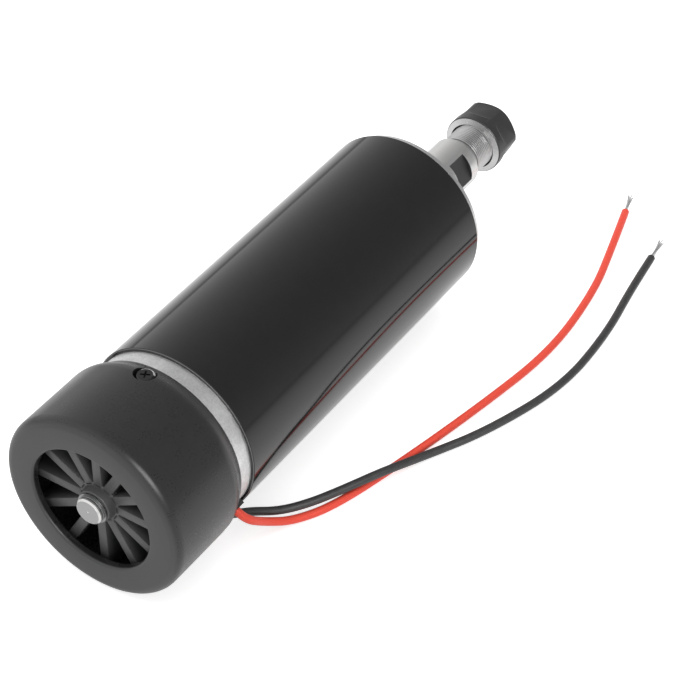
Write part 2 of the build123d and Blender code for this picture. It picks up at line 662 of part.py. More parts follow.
lead_z = floor_z + lead_d / 2
over_z = lead_z + lead_lift
half_pitch = lead_pitch / 2
red_route = [
    exit_point(-half_pitch, lead_exit_r), exit_point(-half_pitch, lead_exit_r + 3.6), (-110.6, -26.4, -22.6), (-103.0, -29.8, lead_z),
    (-92.2, -35.9, lead_z), (-68.4, -41.9, lead_z), (-37.2, -48.3, lead_z), (-4.4, -53.5, lead_z),
    (26.4, -50.8, lead_z), (46.8, -45.6, lead_z), (66.3, -40.2, lead_z)]
black_route = [
    exit_point(half_pitch, lead_exit_r), exit_point(half_pitch, lead_exit_r + 4.0), (-110.8, -23.6, -22.3), (-102.6, -27.0, -24.0),
    (-92.6, -34.6, over_z), (-76.6, -42.0, over_z), (-61.7, -46.2, lead_z), (-44.1, -55.2, lead_z),
    (-15.9, -63.8, lead_z), (11.6, -63.3, lead_z), (34.3, -59.5, lead_z), (50.4, -57.7, lead_z)]


def lead(name, route, tip_len):
    """Insulated lead as runs and tangent arcs, and its bare tinned end."""
    pts = [Vector(*p) for p in route]
    runs = [(pts[i + 1] - pts[i]).length for i in range(len(pts) - 1)]
    radii = []
    for i in range(1, len(pts) - 1):
        turn = (pts[i] - pts[i - 1]).get_angle(pts[i + 1] - pts[i])
        radii.append(0.45 * min(runs[i - 1], runs[i]) / tan(radians(turn / 2)))
    path = FilletPolyline(*route, radius=radii)
    section = Plane(origin=path @ 0, z_dir=path % 0) * Circle(lead_d / 2)
    solid = sweep(section, path=path)
    ideal = pi * (lead_d / 2) ** 2 * path.length
    print(name, "length", round(path.length, 1), "volume/ideal", round(solid.volume / ideal, 4))
    print("   runs", [round(r, 1) for r in runs])
    print("   radii", [round(r, 1) for r in radii])
    save(name, solid)
    end = pts[-1]
    direction = (pts[-1] - pts[-2]).normalized()
    tip = Plane(origin=end, z_dir=direction) * Pos(0, 0, tip_len / 2) * Cylinder(tip_d / 2, tip_len)
    save(name + "_tip", tip)


lead("red_lead", red_route, 8.1)
lead("black_lead", black_route, 8.7)
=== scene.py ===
"""Motor spindle: finishes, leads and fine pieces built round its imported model."""

import logging
import math
from dataclasses import dataclass, field
from enum import Enum
from typing import Iterable, Sequence, Union

import bmesh
import bpy
from mathutils import Matrix, Vector


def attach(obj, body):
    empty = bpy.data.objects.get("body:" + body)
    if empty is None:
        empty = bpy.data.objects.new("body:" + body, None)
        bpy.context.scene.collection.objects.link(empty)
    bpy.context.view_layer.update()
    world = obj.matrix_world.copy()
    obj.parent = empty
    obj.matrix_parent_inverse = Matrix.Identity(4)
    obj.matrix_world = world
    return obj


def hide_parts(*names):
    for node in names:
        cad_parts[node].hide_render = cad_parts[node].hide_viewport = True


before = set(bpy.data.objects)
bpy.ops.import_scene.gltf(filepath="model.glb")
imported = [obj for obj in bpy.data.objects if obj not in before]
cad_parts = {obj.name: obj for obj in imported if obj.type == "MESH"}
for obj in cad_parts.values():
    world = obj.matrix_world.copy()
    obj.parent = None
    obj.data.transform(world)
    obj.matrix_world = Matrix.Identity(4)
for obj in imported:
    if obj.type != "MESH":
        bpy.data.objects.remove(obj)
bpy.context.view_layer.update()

MM = 0.001
LOG = logging.getLogger("spindle")
Pair = tuple[float, float]
Triple = tuple[float, float, float]
Colour = Point = Triple
Socket = bpy.types.NodeSocket
Sockets = bpy.types.NodeOutputs
Node = bpy.types.Node
Tree = bpy.types.NodeTree
Piece = bpy.types.Object
Mesh = bpy.types.Mesh
Shape = bmesh.types.BMesh
Source = Union[float, Sequence[float], Socket]
Sources = dict[Union[int, str], Source]


def show(piece: Piece) -> None:
    """Put an object into the scene."""
    bpy.context.scene.collection.objects.link(piece)


# ---------------- wiring and shared effects
class Wiring:
    """Short-hand for placing and joining the nodes of one tree."""

    def __init__(self, tree: Tree) -> None:
        """Keep the tree that the nodes go into."""
        self.tree = tree

    def node(self, kind: str, sources: Sources | None = None, **settings: object) -> Node:
        """Place one node.

        Args:
            kind: Blender's name of the node type.
            sources: What goes into its inputs, by name or number.
            settings: Properties to set on it.

        Returns:
            The new node.
        """
        made = self.tree.nodes.new(kind)
        for key, value in settings.items():
            setattr(made, key, value)
        self.fill(made, sources or {})
        return made

    def fill(self, node: Node, sources: Sources) -> None:
        """Feed a node's inputs by name or number."""
        for key, source in sources.items():
            self.feed(node.inputs[key], source)

    def feed(self, socket: Socket, source: Source) -> None:
        """Join a source to a socket, or write it there when it is a plain value.

        Args:
            socket: The input to fill.
            source: Another node's output, a number or a colour.
        """
        if isinstance(source, Socket):
            self.tree.links.new(source, socket)
        elif hasattr(source, "__len__"):
            wanted = len(socket.default_value)
            socket.default_value = (*source, 1.0)[:wanted]
        else:
            socket.default_value = source

    def math(self, operation: str, a: Source, b: Source = 0.0, c: Source = 0.0, clamp: bool = False) -> Socket:
        """One step of arithmetic, its answer kept from 0 to 1 where asked."""
        sources = {0: a, 1: b, 2: c}
        return self.node("ShaderNodeMath", sources, operation=operation, use_clamp=clamp).outputs[0]

    def blend(self, mask: Source, a: Source, b: Source, kind: str = "RGBA") -> Socket:
        """Mix two colours (RGBA) or two plain values (FLOAT): a where the mask is 0 and b where it is 1."""
        first, result = (6, 2) if kind == "RGBA" else (2, 0)
        return self.node("ShaderNodeMix", {0: mask, first: a, first + 1: b}, data_type=kind).outputs[result]

    def lerp(self, mask: Source, a: Source, b: Source) -> Socket:
        """Mix two plain values."""
        return self.blend(mask, a, b, "FLOAT")

    def step(self, value: Source, edge: Source, soft: Source) -> Socket:
        """A soft step from 0 to 1, as wide as soft, where a value passes an edge."""
        lifted = self.math("SUBTRACT", value, edge)
        return self.math("ADD", self.math("DIVIDE", lifted, soft), 0.5, clamp=True)

    def noise(self, scale: Source, detail: float, vector: Source | None = None, rough: float = 0.55) -> Socket:
        """A cloud pattern on Object coordinates.

        Args:
            scale: Cells to the metre.
            detail: Octaves.
            vector: Coordinates to read, the object's own when left out.
            rough: Weight of the fine octaves.

        Returns:
            The pattern's socket, around 0.5.
        """
        if vector is None:
            vector = self.node("ShaderNodeTexCoord").outputs["Object"]
        sources = {"Vector": vector, "Scale": scale, "Detail": detail, "Roughness": rough}
        return self.node("ShaderNodeTexNoise", sources).outputs["Fac"]

    def axes(self) -> Iterable[Socket]:
        """The place on the object along each axis."""
        here = self.node("ShaderNodeTexCoord").outputs["Object"]
        return self.node("ShaderNodeSeparateXYZ", {0: here}).outputs

    def scaled(self, *axes: tuple[Source, Source]) -> Socket:
        """Coordinates made of some values, each with its scale."""
        along = [self.math("MULTIPLY", value, scale) for value, scale in axes]
        return self.node("ShaderNodeCombineXYZ", dict(enumerate(along))).outputs[0]

    def polar(self) -> tuple[Socket, Socket, Socket]:
        """The place on the spindle.

        Returns:
            Station along the axis, radius from it and angle about it.
        """
        x, y, z = self.axes()
        squares = self.math("ADD", self.math("MULTIPLY", y, y), self.math("MULTIPLY", z, z))
        return x, self.math("SQRT", squares), self.math("ARCTAN2", z, y)


class Effect(Enum):
    """The effects that several finishes share, each named as the method that builds it."""

    BAND = "station_band"
    LATHE = "lathe_lines"
    GRAIN = "surface_grain"
    DUST = "settled_dust"
    RUBBED = "rubbed_patches"
    FLATS = "milled_flats"


class EffectShelf:
    """Builds each shared effect once, as a node group, and places it where it is asked for."""

    LINE_DETAIL, STREAK_ALONG, STREAK_ROUND, STREAK_DETAIL = 3.0, 0.35, 2.2, 3.0
    FINE_DETAIL, COARSE_CELLS, COARSE_DETAIL, TONE_WIDTH = 4.0, 0.22, 2.0, 0.35
    SPECK_DETAIL, SPECK_ROUGH, SPECK_EDGE, SPECK_GAIN, SPECK_WIDTH = 2.0, 0.8, 0.78, -0.22, 0.05
    DRIFT_CELLS, DRIFT_DETAIL, DRIFT_EDGE, DRIFT_WIDTH = 55.0, 3.0, 0.52, 0.25
    PATCH_DETAIL, PATCH_WIDTH = 4.0, 0.3
    FLAT_EDGE, FLAT_END = 0.04 * MM, 0.02 * MM
    MIDDLE = 0.5

    def __init__(self) -> None:
        """Start with no group built."""
        self.built: dict[Effect, Tree] = {}

    def place(self, wiring: Wiring, effect: Effect, **values: Source) -> Node:
        """Put an effect into a material.

        Args:
            wiring: The material's tree.
            effect: Which effect.
            values: Its inputs by name.

        Returns:
            The group node.
        """
        if effect not in self.built:
            self.built[effect] = getattr(self, effect.value)()
        return wiring.node("ShaderNodeGroup", values, node_tree=self.built[effect])

    @staticmethod
    def blank(effect: Effect, inputs: dict[str, float], outputs: Iterable[str]) -> tuple[Wiring, Sockets, Node]:
        """An empty group with its sockets.

        Args:
            effect: Gives the group its name.
            inputs: Input names with their defaults.
            outputs: Output names.

        Returns:
            Its wiring, the sockets that give its inputs, and its output node.
        """
        tree = bpy.data.node_groups.new(effect.value, "ShaderNodeTree")
        for name, value in inputs.items():
            tree.interface.new_socket(name=name, in_out="INPUT", socket_type="NodeSocketFloat").default_value = value
        for name in outputs:
            tree.interface.new_socket(name=name, in_out="OUTPUT", socket_type="NodeSocketFloat")
        wiring = Wiring(tree)
        return wiring, wiring.node("NodeGroupInput").outputs, wiring.node("NodeGroupOutput")

    def station_band(self) -> Tree:
        """Mask of what lies between two stations and two radii.

        Returns:
            The group's tree.
        """
        inputs = {"From": 0.0, "To": 0.01, "Inner": 0.0, "Outer": 0.1, "Soft": 0.0002}
        w, given, out = self.blank(Effect.BAND, inputs, ("Mask",))
        x, r, _ = w.polar()
        mask: Source = 1.0
        for value, low, high in ((x, "From", "To"), (r, "Inner", "Outer")):
            for more, less in ((value, given[low]), (given[high], value)):
                mask = w.math("MULTIPLY", mask, w.step(more, less, given["Soft"]))
        w.feed(out.inputs["Mask"], mask)
        return w.tree

    def lathe_lines(self) -> Tree:
        """Fine lines left by turning: rings on a cylinder and on an end face.

        Returns:
            The group's tree.
        """
        w, given, out = self.blank(Effect.LATHE, {"Pitch": 0.0002, "Streak": 0.3}, ("Height", "Tone"))
        x, r, angle = w.polar()
        along = w.math("DIVIDE", w.math("ADD", x, r), given["Pitch"])
        sources = {"W": along, "Scale": 1.0, "Detail": self.LINE_DETAIL}
        lines = w.node("ShaderNodeTexNoise", sources, noise_dimensions="1D").outputs["Fac"]
        place = w.scaled((along, self.STREAK_ALONG), (angle, self.STREAK_ROUND))
        streaks = w.noise(1.0, self.STREAK_DETAIL, place)
        w.fill(out, {"Height": lines, "Tone": w.lerp(given["Streak"], lines, streaks)})
        return w.tree

    def surface_grain(self) -> Tree:
        """An even grain, as of casting, moulding or paint.

        Returns:
            The group's tree.
        """
        w, given, out = self.blank(Effect.GRAIN, {"Scale": 2000.0, "Coarse": 0.4}, ("Height", "Tone"))
        fine = w.noise(given["Scale"], self.FINE_DETAIL)
        coarse = w.noise(w.math("MULTIPLY", given["Scale"], self.COARSE_CELLS), self.COARSE_DETAIL)
        tone = w.step(w.lerp(self.MIDDLE, fine, coarse), self.MIDDLE, self.TONE_WIDTH)
        w.fill(out, {"Height": w.lerp(given["Coarse"], fine, coarse), "Tone": tone})
        return w.tree

    def settled_dust(self) -> Tree:
        """Small pale specks in uneven drifts.

        Returns:
            The group's tree.
        """
        w, given, out = self.blank(Effect.DUST, {"Scale": 5200.0, "Amount": 0.3}, ("Mask",))
        specks = w.noise(given["Scale"], self.SPECK_DETAIL, rough=self.SPECK_ROUGH)
        drift = w.step(w.noise(self.DRIFT_CELLS, self.DRIFT_DETAIL), self.DRIFT_EDGE, self.DRIFT_WIDTH)
        level = w.math("MULTIPLY_ADD", given["Amount"], self.SPECK_GAIN, self.SPECK_EDGE)
        w.feed(out.inputs["Mask"], w.math("MULTIPLY", w.step(specks, level, self.SPECK_WIDTH), drift))
        return w.tree

    def rubbed_patches(self) -> Tree:
        """Broad faint patches where hands and cloths have changed the gloss.

        Returns:
            The group's tree.
        """
        w, given, out = self.blank(Effect.RUBBED, {"Scale": 40.0, "Stretch": 3.0}, ("Mask",))
        x, r, angle = w.polar()
        place = w.scaled((x, given["Scale"]), (angle, given["Stretch"]), (r, given["Scale"]))
        cloud = w.noise(1.0, self.PATCH_DETAIL, place)
        w.feed(out.inputs["Mask"], w.step(cloud, self.MIDDLE, self.PATCH_WIDTH))
        return w.tree

    def milled_flats(self) -> Tree:
        """Mask of two opposite flats cut across the shaft.

        Returns:
            The group's tree.
        """
        w, given, out = self.blank(Effect.FLATS, {"From": 0.0, "To": 0.01, "Depth": 0.007, "Turn": 0.0}, ("Mask",))
        x, r, angle = w.polar()
        across = w.math("MULTIPLY", r, w.math("COSINE", w.math("SUBTRACT", angle, given["Turn"])))
        mask = w.step(w.math("ABSOLUTE", across), given["Depth"], self.FLAT_EDGE)
        for value, edge in ((x, given["From"]), (given["To"], x)):
            mask = w.math("MULTIPLY", mask, w.step(value, edge, self.FLAT_END))
        w.feed(out.inputs["Mask"], mask)
        return w.tree


SHELF = EffectShelf()


# ---------------- finishes
@dataclass(frozen=True)
class Zone:
    """A stretch of a piece whose colour and gloss differ, between two stations and two radii in mm; some zones are
    the piece's own finish, some are painted light and shade.
    """

    x0: float
    x1: float
    colour: Colour
    roughness: float
    metallic: float = 0.0
    r0: float = -1.0
    r1: float = 90.0
    soft: float = 0.06
    flat_depth: float = 0.0
    flat_turn: float = 155.0

    def mask(self, w: Wiring) -> Socket:
        """Place the zone's mask in a material.

        Args:
            w: The material's wiring.

        Returns:
            The mask's socket.
        """
        ends = {"From": self.x0 * MM, "To": self.x1 * MM}
        if self.flat_depth:
            flats = {"Depth": self.flat_depth * MM, "Turn": math.radians(self.flat_turn)}
            return SHELF.place(w, Effect.FLATS, **ends, **flats).outputs["Mask"]
        radii = {"Inner": self.r0 * MM, "Outer": self.r1 * MM, "Soft": self.soft * MM}
        return SHELF.place(w, Effect.BAND, **ends, **radii).outputs["Mask"]


DUST_COLOUR: Colour = (0.5, 0.49, 0.47)
DUST_COVER, DUST_ROUGHNESS = 0.35, 0.8


@dataclass(frozen=True)
class Finish:
    """One finish, with its colour, gloss and fine pattern."""

    name: str
    colour: Colour
    tint: Colour
    roughness: float
    spread: float = 0.08
    metallic: float = 0.0
    ior: float = 1.5
    coat: float = 0.0
    coat_roughness: float = 0.05
    texture: Effect = Effect.GRAIN
    scale: float = 2000.0
    pitch: float = 0.2
    depth: float = 0.01
    tone: float = 0.5
    dust: float = 0.0
    sheen: float = 0.0
    zones: tuple[Zone, ...] = ()

    def build(self) -> bpy.types.Material:
        """Make the material.

        Returns:
            The finished material.
        """
        material = bpy.data.materials.new(self.name)
        material.use_nodes = True
        material.diffuse_color = (*self.colour, 1.0)
        w = Wiring(material.node_tree)
        shader = material.node_tree.nodes["Principled BSDF"]
        pattern = self.pattern(w)
        colour = w.blend(w.math("MULTIPLY", pattern.outputs["Tone"], self.tone), self.colour, self.tint)
        rubbed_and_highlight = SHELF.place(w, Effect.RUBBED).outputs["Mask"]
        half = self.spread / 2
        uneven = w.math("MULTIPLY_ADD", pattern.outputs["Tone"], self.spread, self.roughness - half)
        roughness = w.math("MULTIPLY_ADD", rubbed_and_highlight, half, uneven)
        metallic: Source = self.metallic
        if self.dust:
            specks = w.math("MULTIPLY", SHELF.place(w, Effect.DUST, Amount=self.dust).outputs["Mask"], DUST_COVER)
            colour = w.blend(specks, colour, DUST_COLOUR)
            roughness = w.lerp(specks, roughness, DUST_ROUGHNESS)
        for zone in self.zones:
            mask = zone.mask(w)
            colour = w.blend(mask, colour, zone.colour)
            roughness = w.lerp(mask, roughness, zone.roughness)
            if zone.metallic != self.metallic or metallic is not self.metallic:
                metallic = w.lerp(mask, metallic, zone.metallic)
        bump = w.node("ShaderNodeBump", {"Distance": self.depth * MM, "Height": pattern.outputs["Height"]})
        w.fill(shader, {"Base Color": colour, "Roughness": roughness, "Metallic": metallic, "Normal": bump.outputs[0],
                        "IOR": self.ior, "Coat Weight": self.coat, "Coat Roughness": self.coat_roughness,
                        "Sheen Weight": self.sheen})
        return material

    def pattern(self, w: Wiring) -> Node:
        """Place the effect that gives this finish its fine pattern."""
        size = {"Pitch": self.pitch * MM} if self.texture is Effect.LATHE else {"Scale": self.scale}
        return SHELF.place(w, self.texture, **size)


def grey(level: float, warm: float = 0.0) -> Colour:
    """A grey, warmed a little where asked."""
    return (level * (1 + warm), level, level * (1 - warm))


GLOSS_PAINT = Finish(
    "gloss_black_paint", grey(0.0105), grey(0.014), 0.075, 0.03, scale=900.0, depth=0.0006, tone=0.6, dust=0.22,
    # The two thin pale metal bands at the tube's front and rear edges are painted highlights for the light caught
    # along its edges.
    zones=(Zone(-2.6, -2.2, grey(0.5), 0.35, 0.8, r0=25.6, soft=0.1),
           Zone(-114.5, -114.28, grey(0.2), 0.4, 0.8, r0=25.7, soft=0.08),
           Zone(-120.0, 5.0, grey(0.3), 0.5, 0.3, r1=24.2)))
CAST_ALLOY = Finish(
    "cast_alloy", grey(0.84), grey(0.56), 0.46, 0.14, 1.0, scale=1500.0, depth=0.09, tone=0.8,
    zones=(Zone(-4.0, 1.0, grey(0.78), 0.3, 1.0, r0=4.0, soft=0.1),
           # The near-black zone on the rear bell under the cover, behind the fan, is painted shade.
           Zone(-140.0, -122.0, grey(0.09), 0.6, 0.5, r1=24.9)))
COVER_MOULDING = Finish(
    "cover_moulding", grey(0.019), grey(0.024), 0.27, 0.06, scale=1300.0, depth=0.0015, tone=0.6, dust=0.04,
    # The rear face is rougher, and its lighter grey is painted light for the brighter light it catches.
    zones=(Zone(-149.9, -149.2, grey(0.047), 0.42, r0=18.0, soft=0.6),))
FAN_MOULDING = Finish(
    "fan_moulding", grey(0.075), grey(0.1), 0.4, 0.1, scale=1600.0, depth=0.006, tone=0.7,
    # The fan darkens from its rear edges inwards: painted shade deep inside the cover.
    zones=(Zone(-144.5, -120.0, grey(0.03), 0.5, soft=2.5),))
GROUND_STEEL = Finish(
    "ground_steel", grey(0.86, 0.01), grey(0.6, 0.01), 0.27, 0.14, 1.0,
    texture=Effect.LATHE, pitch=0.16, depth=0.004, tone=0.8,
    zones=(Zone(28.2, 44.5, grey(0.56), 0.3, 1.0, r1=7.2),
           # The dark band at the thread's roots, below the crests, is painted shade between the ridges.
           Zone(29.9, 43.7, grey(0.2), 0.4, 1.0, r1=6.68, soft=0.05),
           Zone(-150.75, -150.55, grey(0.4), 0.4, 1.0, r1=3.5, soft=0.08),
           Zone(-150.2, -144.0, grey(0.3), 0.35, 1.0),
           # The wrench flats are rougher, and their near-black colour is painted shade.
           Zone(16.96, 24.34, grey(0.05), 0.5, 0.3, flat_depth=6.73)))
BLACK_OXIDE = Finish(
    "black_oxide", grey(0.035), grey(0.055), 0.3, 0.1, 0.25, texture=Effect.LATHE, pitch=0.22, depth=0.003, tone=0.7,
    zones=(Zone(37.3, 38.2, grey(0.6), 0.25, 1.0, r0=7.52, r1=9.22, soft=0.08),))
SCREW_STEEL = Finish("dark_screw_steel", grey(0.07), grey(0.05), 0.16, 0.05, 1.0, scale=2600.0, depth=0.003, tone=0.6)
# Bright steel for the far side of the screw heads' rounded edges: a painted highlight.
SCREW_HIGHLIGHT = Finish("painted_screw_highlight", grey(0.95), grey(0.8), 0.2, 0.08, 1.0, scale=2600.0, depth=0.003, tone=0.5)
ZINC = Finish("zinc_plate", grey(0.68), grey(0.5), 0.28, 0.12, 1.0, scale=2600.0, depth=0.006, tone=0.6)
BEARING_STEEL = Finish(
    "bearing_steel", grey(0.6), grey(0.48), 0.14, 0.06, 1.0, texture=Effect.LATHE, pitch=0.12, depth=0.001, tone=0.5)
PRESSED_STEEL = Finish("pressed_steel", grey(0.5), grey(0.4), 0.32, 0.1, 1.0, scale=2200.0, depth=0.004)
SPRING_STEEL = Finish("spring_steel", grey(0.34), grey(0.24), 0.34, 0.12, 1.0, scale=2400.0, depth=0.004)
FERRITE = Finish("ferrite", grey(0.1), grey(0.16), 0.62, 0.1, scale=1800.0, depth=0.02)
CARD_BOARD = Finish("card_board", (0.35, 0.2, 0.09), (0.25, 0.13, 0.06), 0.6, 0.1, scale=2200.0, depth=0.012)
BRASS = Finish("brass", (0.78, 0.57, 0.24), (0.6, 0.4, 0.15), 0.3, 0.12, 1.0, scale=2400.0, depth=0.005)
CARBON = Finish("brush_carbon", grey(0.05), grey(0.09), 0.55, 0.1, 0.2, scale=3000.0, depth=0.01)
RUBBER = Finish("grommet_rubber", grey(0.022), grey(0.035), 0.6, 0.1, scale=2500.0, depth=0.008, dust=0.3)
RED_SILICONE = Finish(
    "red_silicone", (0.93, 0.085, 0.045), (0.86, 0.06, 0.035), 0.42, 0.12,
    scale=2600.0, depth=0.006, tone=0.6, sheen=0.05)
BLACK_SILICONE = Finish(
    "black_silicone", grey(0.03), grey(0.055), 0.4, 0.14, scale=2600.0, depth=0.012, tone=0.8, dust=0.3)
TINNED = Finish("tinned_wire", grey(0.8), grey(0.66), 0.26, 0.1, 1.0, scale=4200.0, depth=0.01)
LAMINATION = Finish(
    "lamination_stack", grey(0.36), grey(0.24), 0.4, 0.12, 1.0, texture=Effect.LATHE, pitch=0.5, depth=0.03, tone=0.9)
ENAMEL_COPPER = Finish(
    "enamelled_copper", (0.55, 0.17, 0.06), (0.36, 0.09, 0.03), 0.26, 0.1, 0.7, coat=0.6, scale=2400.0, depth=0.04)
RED_FIBRE = Finish("red_fibre", (0.48, 0.1, 0.06), (0.36, 0.07, 0.04), 0.6, 0.1, scale=2600.0, depth=0.015)
PHENOLIC = Finish("phenolic", (0.11, 0.055, 0.035), (0.07, 0.035, 0.022), 0.45, 0.1, scale=2000.0, depth=0.006)
COMMUTATOR = Finish(
    "commutator_copper", (0.85, 0.42, 0.24), (0.6, 0.27, 0.14), 0.26, 0.12, 1.0,
    texture=Effect.LATHE, pitch=0.14, depth=0.004, tone=0.7)

DRESSED: tuple[tuple[Finish, str], ...] = (
    (GLOSS_PAINT, "body_tube"),
    (CAST_ALLOY, "front_flange rear_bell"),
    (COVER_MOULDING, "fan_cover"),
    (ZINC, "cover_screws tie_bolts card_screws"),
    (FERRITE, "magnets"),
    (SPRING_STEEL, "magnet_clips bearing_circlip preload_spring brush_spring_a brush_spring_b fan_snap_ring"),
    (BEARING_STEEL, "front_brg_outer_ring front_brg_inner_ring front_brg_balls"),
    (BEARING_STEEL, "rear_brg_outer_ring rear_brg_inner_ring rear_brg_balls"),
    (PRESSED_STEEL, "front_brg_cage front_brg_shields rear_brg_cage rear_brg_shields"),
    (CARD_BOARD, "brush_card"),
    (BRASS, "brush_holders"),
    (CARBON, "brush_a brush_b"),
    (RUBBER, "lead_grommet"),
    (GROUND_STEEL, "spindle_shaft fan_spacer collet"),
    (LAMINATION, "armature_core"),
    (ENAMEL_COPPER, "windings"),
    (RED_FIBRE, "end_insulators"),
    (PHENOLIC, "commutator_hub"),
    (COMMUTATOR, "commutator_bars"),
    (FAN_MOULDING, "fan"),
    (BLACK_OXIDE, "collet_nut"),
)


class Paintshop:
    """Builds each finish once and puts it on pieces."""

    def __init__(self) -> None:
        """Start with no material built."""
        self.made: dict[str, bpy.types.Material] = {}

    def dress(self, piece: Piece, finish: Finish) -> None:
        """Give a mesh or curve one finish all over."""
        piece.data.materials.clear()
        self.add(piece, finish)

    def add(self, piece: Piece, finish: Finish) -> None:
        """Give a piece one more finish, for the faces that ask for it.

        Args:
            piece: A mesh or curve.
            finish: The finish that is added.
        """
        if finish.name not in self.made:
            self.made[finish.name] = finish.build()
        piece.data.materials.append(self.made[finish.name])

    def dress_frame(self) -> int:
        """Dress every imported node.

        Returns:
            How many nodes were dressed.
        """
        dressed = 0
        for finish, nodes in DRESSED:
            for name in nodes.split():
                self.dress(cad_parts[name], finish)
                dressed += 1
        return dressed


SHOP = Paintshop()


def link(name: str, data: bpy.types.ID, body: str, finish: Finish) -> Piece:
    """Put a new piece into the scene.

    Args:
        name: The piece's name.
        data: Its mesh or curve.
        body: The body that it rides on.
        finish: Its finish.

    Returns:
        The new object.
    """
    piece = bpy.data.objects.new(name, data)
    show(piece)
    SHOP.dress(piece, finish)
    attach(piece, body)
    return piece


# ---------------- turned and cut shapes
Outline = Sequence[Pair]
Rounds = dict[int, float]
Parts = Sequence[Union[bmesh.types.BMVert, bmesh.types.BMEdge]]
TOUCHING = 1e-7
NO_LENGTH = 1e-8


def rounded(bm: Shape, parts: Parts, reach: float, segments: int, affect: str) -> None:
    """Round a shape's corners (VERTICES) or edges (EDGES), as far as the reach in mm."""
    bmesh.ops.bevel(bm, geom=parts, offset=reach * MM, offset_type="OFFSET", affect=affect, segments=segments,
                    profile=0.5, material=-1)


def turned(outline: Outline, rounds: Rounds | None = None, steps: int = 96, segments: int = 4) -> Shape:
    """Spin a closed outline about X.

    Args:
        outline: Stations and radii in mm, in order round the section.
        rounds: How far each rounded corner reaches along its sides, by its number.
        steps: Facets round the axis.
        segments: Facets of each rounded corner.

    Returns:
        The closed shape.
    """
    bm = bmesh.new()
    corners = [bm.verts.new((x * MM, 0.0, r * MM)) for x, r in outline]
    bm.faces.new(corners)
    for index, reach in (rounds or {}).items():
        rounded(bm, [corners[index]], reach, segments, "VERTICES")
    bmesh.ops.delete(bm, geom=bm.faces[:], context="FACES_ONLY")
    axial = [e for e in bm.edges if all(abs(v.co.z) < TOUCHING for v in e.verts)]
    bmesh.ops.delete(bm, geom=axial, context="EDGES")
    bmesh.ops.spin(bm, geom=bm.verts[:] + bm.edges[:], cent=(0, 0, 0), axis=(1, 0, 0), angle=math.tau, steps=steps,
                   use_merge=True)
    bmesh.ops.remove_doubles(bm, verts=bm.verts[:], dist=TOUCHING)
    bmesh.ops.dissolve_degenerate(bm, edges=bm.edges[:], dist=NO_LENGTH)
    bmesh.ops.recalc_face_normals(bm, faces=bm.faces[:])
    return bm


def block(size: Point, centre: Point, turn: float = 0.0) -> Shape:
    """A box, turned about X after it is placed.

    Args:
        size: Its edges in mm.
        centre: Its middle in mm before the turn.
        turn: Angle about X in degrees.

    Returns:
        The box.
    """
    bm = bmesh.new()
    bmesh.ops.create_cube(bm, size=1.0)
    bmesh.ops.scale(bm, vec=[c * MM for c in size], verts=bm.verts[:])
    bmesh.ops.translate(bm, vec=[c * MM for c in centre], verts=bm.verts[:])
    return about_axis(bm, turn)


def about_axis(bm: Shape, angle: float) -> Shape:
    """Turn a shape about X by some degrees."""
    bmesh.ops.rotate(bm, cent=(0, 0, 0), matrix=Matrix.Rotation(math.radians(angle), 3, "X"), verts=bm.verts[:])
    return bm


def to_mesh(bm: Shape, name: str) -> Mesh:
    """Turn a shape into a mesh and let it go.

    Args:
        bm: The shape.
        name: The mesh's name.

    Returns:
        The mesh.
    """
    mesh = bpy.data.meshes.new(name)
    bm.to_mesh(mesh)
    bm.free()
    return mesh


def gather(shapes: Iterable[Shape], name: str) -> Mesh:
    """Put several shapes into one mesh.

    Args:
        shapes: The shapes.
        name: The mesh's name.

    Returns:
        The mesh that holds them all.
    """
    whole = bmesh.new()
    for shape in shapes:
        part = to_mesh(shape, "part")
        whole.from_mesh(part)
        bpy.data.meshes.remove(part)
    return to_mesh(whole, name)


def carved(body: Shape, tools: Iterable[Shape], name: str) -> Mesh:
    """Cut tools out of a body.

    Args:
        body: What is cut.
        tools: Closed shapes that are taken away, one after another.
        name: The result's name.

    Returns:
        The cut mesh.
    """
    target = bpy.data.objects.new("target", to_mesh(body, "target"))
    show(target)
    cutters = []
    for tool in tools:
        cutter = bpy.data.objects.new("cutter", to_mesh(tool, "cutter"))
        show(cutter)
        cut = target.modifiers.new("cut", "BOOLEAN")
        cut.operation, cut.solver, cut.object = "DIFFERENCE", "EXACT", cutter
        cutters.append(cutter)
    result = bpy.data.meshes.new_from_object(target.evaluated_get(bpy.context.evaluated_depsgraph_get()))
    result.name = name
    for spare in [target, *cutters]:
        mesh = spare.data
        bpy.data.objects.remove(spare)
        bpy.data.meshes.remove(mesh)
    return result


def smoothed(mesh: Mesh, angle: float = 32.0) -> Mesh:
    """Shade a mesh smooth, with its sharper edges kept.

    Args:
        mesh: The mesh.
        angle: The sharpest turn, in degrees, that is still smoothed.

    Returns:
        The same mesh.
    """
    mesh.shade_smooth()
    mesh.set_sharp_from_angle(angle=math.radians(angle))
    return mesh


def radial(shape: Shape, station: float, angle: float) -> Shape:
    """Turn a shape made along X so that it points out from the axis.

    Args:
        shape: A shape whose X is the distance from the spindle's axis.
        station: Where it stands along the spindle, in mm.
        angle: Degrees from +Y towards +Z.

    Returns:
        The same shape, placed.
    """
    turn = Matrix.Rotation(math.radians(angle), 4, "X") @ Matrix.Rotation(math.radians(90), 4, "Z")
    bmesh.ops.transform(shape, matrix=Matrix.Translation((station * MM, 0, 0)) @ turn, verts=shape.verts[:])
    return shape


# ---------------- rear end
SCREW_STEPS = 40
SCREW_ROUNDS: Rounds = {4: 0.7, 5: 0.5, 1: 0.4}
COVER_ROUNDS: Rounds = {1: 2.8, 2: 1.5, 3: 0.25, 7: 1.2, 0: 0.8}


